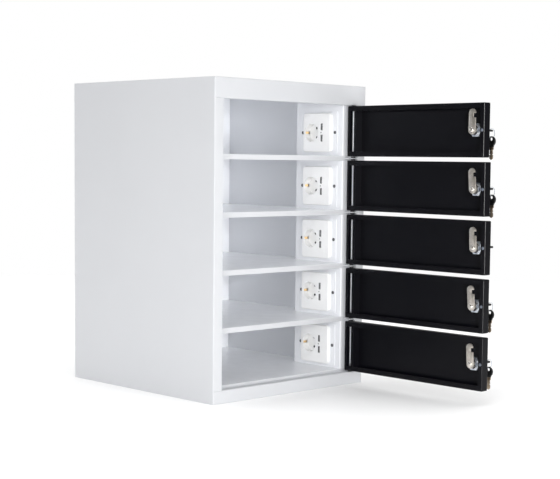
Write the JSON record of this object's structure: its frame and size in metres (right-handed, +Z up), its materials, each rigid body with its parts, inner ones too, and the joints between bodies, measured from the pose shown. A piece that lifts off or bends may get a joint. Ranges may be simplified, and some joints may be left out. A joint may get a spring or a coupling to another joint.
{
  "type": "phone charging kiosk",
  "caption": "Sheet-steel charging kiosk of stacked lockers with black cam-locked doors, each with a mains outlet and USB ports.",
  "frame": {"origin": "centre of the cabinet's base, on the surface it stands on", "axes": "+Z up, +Y from the doors towards the back, +X to the right seen from the front"},
  "size_m": [0.4191, 0.7751, 0.6],
  "materials": {
    "white_powder_coat": "fine matt powder coat",
    "black_powder_coat": "satin black powder coat",
    "outlet_plastic": "smooth moulded thermoplastic",
    "port_plastic": "dark moulded plastic",
    "earth_brass": "sprung brass strip",
    "screw_steel": "dark passivated steel",
    "zinc_steel": "bright zinc plate",
    "cam_steel": "nickel-plated zinc",
    "lock_chrome": "polished chrome plate",
    "bush_nylon": "black nylon",
    "inlet_plastic": "black moulded thermoplastic",
    "terminal_plastic": "natural nylon",
    "cable_sheath": "grey PVC sheath",
    "key_bow": "black moulded bow with a nickel-silver blade"
  },
  "bodies": {
    "cabinet": {"left_side_panel": "white_powder_coat", "right_side_panel": "white_powder_coat", "top_panel": "white_powder_coat", "bottom_panel": "white_powder_coat", "back_panel": "white_powder_coat", "inner_back_panel": "white_powder_coat", "floor_plate": "white_powder_coat", "shelf_1": "white_powder_coat", "shelf_2": "white_powder_coat", "shelf_3": "white_powder_coat", "shelf_4": "white_powder_coat", "socket_channel": "white_powder_coat", "socket_plates": "white_powder_coat", "outlet_covers": "outlet_plastic", "outlet_inserts": "outlet_plastic", "usb_modules": "port_plastic", "earth_clips": "earth_brass", "plate_screws": "screw_steel", "hinge_rod": "zinc_steel", "hinge_lugs": "white_powder_coat", "hinge_bushes": "bush_nylon", "mains_inlet": "inlet_plastic", "inlet_pins": "earth_brass", "terminal_block": "terminal_plastic", "wiring_harness": "cable_sheath"},
    "door_1": {"door_1": "black_powder_coat", "lock_body_1": "lock_chrome", "lock_nut_1": "zinc_steel"},
    "lock_1": {"lock_cam_1": "cam_steel"},
    "key_1": {"key_1": "key_bow"},
    "ring_1": {"key_ring_1": "zinc_steel"},
    "spare_key_1": {"spare_key_1": "key_bow"},
    "door_2": {"door_2": "black_powder_coat", "lock_body_2": "lock_chrome", "lock_nut_2": "zinc_steel"},
    "lock_2": {"lock_cam_2": "cam_steel"},
    "key_2": {"key_2": "key_bow"},
    "ring_2": {"key_ring_2": "zinc_steel"},
    "spare_key_2": {"spare_key_2": "key_bow"},
    "door_3": {"door_3": "black_powder_coat", "lock_body_3": "lock_chrome", "lock_nut_3": "zinc_steel"},
    "lock_3": {"lock_cam_3": "cam_steel"},
    "key_3": {"key_3": "key_bow"},
    "door_4": {"door_4": "black_powder_coat", "lock_body_4": "lock_chrome", "lock_nut_4": "zinc_steel"},
    "lock_4": {"lock_cam_4": "cam_steel"},
    "key_4": {"key_4": "key_bow"},
    "ring_4": {"key_ring_4": "zinc_steel"},
    "spare_key_4": {"spare_key_4": "key_bow"},
    "door_5": {"door_5": "black_powder_coat", "lock_body_5": "lock_chrome", "lock_nut_5": "zinc_steel"},
    "lock_5": {"lock_cam_5": "cam_steel"},
    "key_5": {"key_5": "key_bow"},
    "ring_5": {"key_ring_5": "zinc_steel"},
    "spare_key_5": {"spare_key_5": "key_bow"}
  },
  "joints": [
    {"name": "door_1_hinge", "type": "hinge", "parent": "cabinet", "child": "door_1", "pos_m": [0.171, -0.2125, 0.51], "axis": [0, 0, 1], "range_deg": [-88.7, 21.3]},
    {"name": "lock_1_turn", "type": "hinge", "parent": "door_1", "child": "lock_1", "pos_m": [0.16867, -0.53553, 0.51], "axis": [0.9997, -0.0227, 0], "range_deg": [-6.5, 88.5]},
    {"name": "key_1_pull", "type": "slide", "parent": "lock_1", "child": "key_1", "axis": [0.9997, -0.0227, 0], "range_m": [0, 0.02]},
    {"name": "ring_1_swing", "type": "hinge", "parent": "key_1", "child": "ring_1", "pos_m": [0.20066, -0.53626, 0.5053], "axis": [-0.0227, -0.9997, 0], "range_deg": [-15, 30]},
    {"name": "spare_key_1_swing", "type": "hinge", "parent": "ring_1", "child": "spare_key_1", "pos_m": [0.20066, -0.53626, 0.4967], "axis": [0.9997, -0.0227, 0], "range_deg": [-30, 30]},
    {"name": "door_2_hinge", "type": "hinge", "parent": "cabinet", "child": "door_2", "pos_m": [0.171, -0.2125, 0.402], "axis": [0, 0, 1], "range_deg": [-89.6, 20.4]},
    {"name": "lock_2_turn", "type": "hinge", "parent": "door_2", "child": "lock_2", "pos_m": [0.17375, -0.53553, 0.402], "axis": [1, -0.007, 0], "range_deg": [-1, 94]},
    {"name": "key_2_pull", "type": "slide", "parent": "lock_2", "child": "key_2", "axis": [1, -0.007, 0], "range_m": [0, 0.02]},
    {"name": "ring_2_swing", "type": "hinge", "parent": "key_2", "child": "ring_2", "pos_m": [0.20574, -0.53575, 0.3973], "axis": [-0.007, -1, 0], "range_deg": [-15, 30]},
    {"name": "spare_key_2_swing", "type": "hinge", "parent": "ring_2", "child": "spare_key_2", "pos_m": [0.20574, -0.53575, 0.3887], "axis": [1, -0.007, 0], "range_deg": [-30, 30]},
    {"name": "door_3_hinge", "type": "hinge", "parent": "cabinet", "child": "door_3", "pos_m": [0.171, -0.2125, 0.294], "axis": [0, 0, 1], "range_deg": [-90.4, 19.6]},
    {"name": "lock_3_turn", "type": "hinge", "parent": "door_3", "child": "lock_3", "pos_m": [0.17825, -0.53546, 0.294], "axis": [1, 0.007, 0], "range_deg": [-3, 92]},
    {"name": "key_3_pull", "type": "slide", "parent": "lock_3", "child": "key_3", "axis": [1, 0.007, 0], "range_m": [0, 0.02]},
    {"name": "door_4_hinge", "type": "hinge", "parent": "cabinet", "child": "door_4", "pos_m": [0.171, -0.2125, 0.186], "axis": [0, 0, 1], "range_deg": [-90.2, 19.8]},
    {"name": "lock_4_turn", "type": "hinge", "parent": "door_4", "child": "lock_4", "pos_m": [0.17713, -0.53548, 0.186], "axis": [1, 0.0035, 0], "range_deg": [-1, 94]},
    {"name": "key_4_pull", "type": "slide", "parent": "lock_4", "child": "key_4", "axis": [1, 0.0035, 0], "range_m": [0, 0.02]},
    {"name": "ring_4_swing", "type": "hinge", "parent": "key_4", "child": "ring_4", "pos_m": [0.20913, -0.53537, 0.1813], "axis": [0.0035, -1, 0], "range_deg": [-15, 30]},
    {"name": "spare_key_4_swing", "type": "hinge", "parent": "ring_4", "child": "spare_key_4", "pos_m": [0.20913, -0.53537, 0.1727], "axis": [1, 0.0035, 0], "range_deg": [-30, 30]},
    {"name": "door_5_hinge", "type": "hinge", "parent": "cabinet", "child": "door_5", "pos_m": [0.171, -0.2125, 0.078], "axis": [0, 0, 1], "range_deg": [-90.3, 19.7]},
    {"name": "lock_5_turn", "type": "hinge", "parent": "door_5", "child": "lock_5", "pos_m": [0.17769, -0.53547, 0.078], "axis": [1, 0.0052, 0], "range_deg": [-2, 93]},
    {"name": "key_5_pull", "type": "slide", "parent": "lock_5", "child": "key_5", "axis": [1, 0.0052, 0], "range_m": [0, 0.02]},
    {"name": "ring_5_swing", "type": "hinge", "parent": "key_5", "child": "ring_5", "pos_m": [0.20969, -0.5353, 0.0733], "axis": [0.0052, -1, 0], "range_deg": [-15, 30]},
    {"name": "spare_key_5_swing", "type": "hinge", "parent": "ring_5", "child": "spare_key_5", "pos_m": [0.20969, -0.5353, 0.0647], "axis": [1, 0.0052, 0], "range_deg": [-30, 30]}
  ]
}
